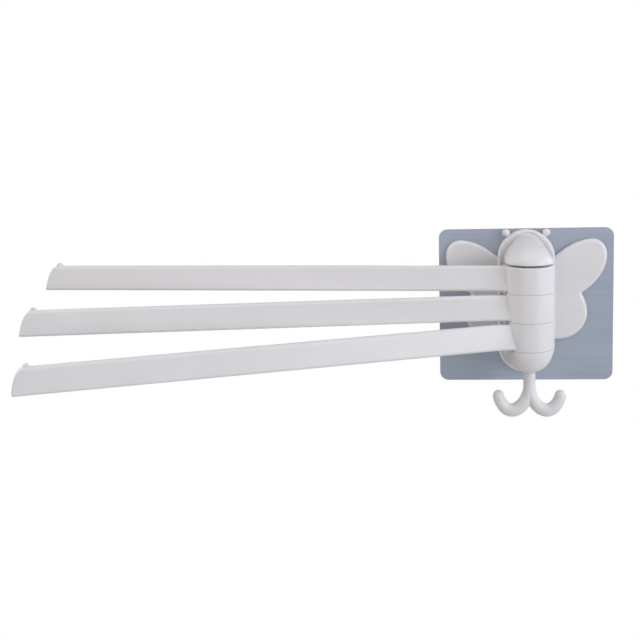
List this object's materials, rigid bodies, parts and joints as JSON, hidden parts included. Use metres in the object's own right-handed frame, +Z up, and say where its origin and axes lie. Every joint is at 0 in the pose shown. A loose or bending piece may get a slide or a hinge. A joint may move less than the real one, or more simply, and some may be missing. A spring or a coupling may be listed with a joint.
{
  "type": "swing arm towel bar",
  "caption": "Butterfly-shaped wall-mounted towel bar: swinging arms on a short upright pin, a swivelling double hook below, and a square adhesive backing sheet.",
  "frame": {"origin": "centre of the adhesive's back face, on the wall", "axes": "+Z up, +Y into the wall, -Y out into the room, +X to the right of a person who faces the wall"},
  "size_m": [0.3328, 0.136, 0.1046],
  "materials": {
    "white_plastic": "glossy off-white moulded plastic",
    "brushed_film": "silver-grey sheet, fine horizontal brushing",
    "adhesive": "translucent nano adhesive, satin",
    "foam_tape": "white bonding tape, matt",
    "zinc_steel": "zinc-plated steel",
    "nylon": "natural nylon"
  },
  "bodies": {
    "base": {"adhesive_layer": "adhesive", "backing_sheet": "brushed_film", "bonding_tape": "foam_tape", "butterfly_base": "white_plastic", "head_block": "white_plastic", "tail_block": "white_plastic", "block_screws": "zinc_steel", "pivot_pin": "zinc_steel", "disc_spring": "zinc_steel", "washer_upper": "nylon", "washer_middle": "nylon", "washer_lower": "nylon", "hook_washer": "nylon"},
    "upper_arm": {"arm_upper": "white_plastic", "bush_upper": "nylon"},
    "middle_arm": {"arm_middle": "white_plastic", "bush_middle": "nylon"},
    "lower_arm": {"arm_lower": "white_plastic", "bush_lower": "nylon"},
    "hook": {"double_hook": "white_plastic", "hook_clip": "zinc_steel"}
  },
  "joints": [
    {"name": "upper_arm_swing", "type": "hinge", "parent": "base", "child": "upper_arm", "pos_m": [0, -0.027, 0], "axis": [0, 0, 1], "range_deg": [0, 188.6]},
    {"name": "middle_arm_swing", "type": "hinge", "parent": "base", "child": "middle_arm", "pos_m": [0, -0.027, 0], "axis": [0, 0, 1], "range_deg": [-11.9, 176.7]},
    {"name": "lower_arm_swing", "type": "hinge", "parent": "base", "child": "lower_arm", "pos_m": [0, -0.027, 0], "axis": [0, 0, 1], "range_deg": [-26.1, 162.5]},
    {"name": "hook_swivel", "type": "hinge", "parent": "base", "child": "hook", "pos_m": [0, -0.027, 0], "axis": [0, 0, 1], "continuous": true}
  ]
}
